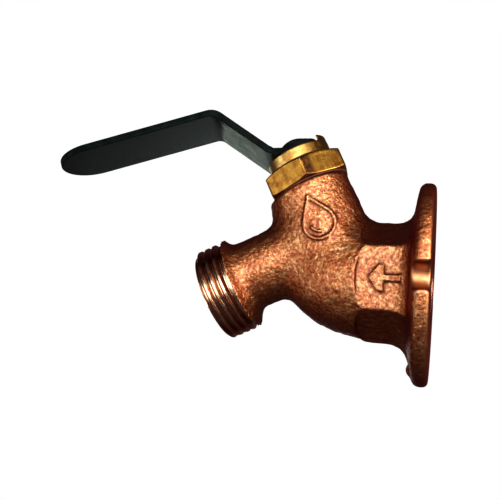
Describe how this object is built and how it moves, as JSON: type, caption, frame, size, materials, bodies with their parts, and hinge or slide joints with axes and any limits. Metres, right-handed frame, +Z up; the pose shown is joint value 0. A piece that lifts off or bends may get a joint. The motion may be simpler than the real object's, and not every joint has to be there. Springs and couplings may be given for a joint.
{
  "type": "hose bib",
  "caption": "Wall-flanged garden tap with a quarter-turn lever, a female pipe inlet, a tilted bonnet with a ceramic disc cartridge and a threaded hose outlet.",
  "frame": {"origin": "centre of the wall face, on the inlet axis", "axes": "+X into the wall along the inlet axis, +Z up, -X towards the hose outlet; the stem leans in the XZ plane"},
  "size_m": [0.1081, 0.054, 0.072],
  "materials": {
    "cast_bronze": "sand cast",
    "turned_brass": "turned",
    "lever_paint": "semi-gloss paint",
    "plated_steel": "zinc plated",
    "seal_rubber": "matt",
    "bearing_plastic": "matt",
    "disc_ceramic": "lapped"
  },
  "bodies": {
    "valve": {"valve_body": "cast_bronze", "bonnet_washer": "seal_rubber", "bonnet": "turned_brass", "thrust_washer": "bearing_plastic", "cartridge_cage": "turned_brass", "fixed_disc": "disc_ceramic", "seat_seal": "seal_rubber"},
    "spindle": {"stem": "turned_brass", "stem_o_ring_upper": "seal_rubber", "stem_o_ring_lower": "seal_rubber", "retaining_clip": "plated_steel", "moving_disc": "disc_ceramic", "lever": "lever_paint", "lever_washer": "plated_steel", "lever_screw": "plated_steel"}
  },
  "joints": [
    {"name": "lever_turn", "type": "hinge", "parent": "valve", "child": "spindle", "pos_m": [-0.0268, 0, 0.0106], "axis": [0.454, 0, -0.891], "range_deg": [0, 90]}
  ]
}
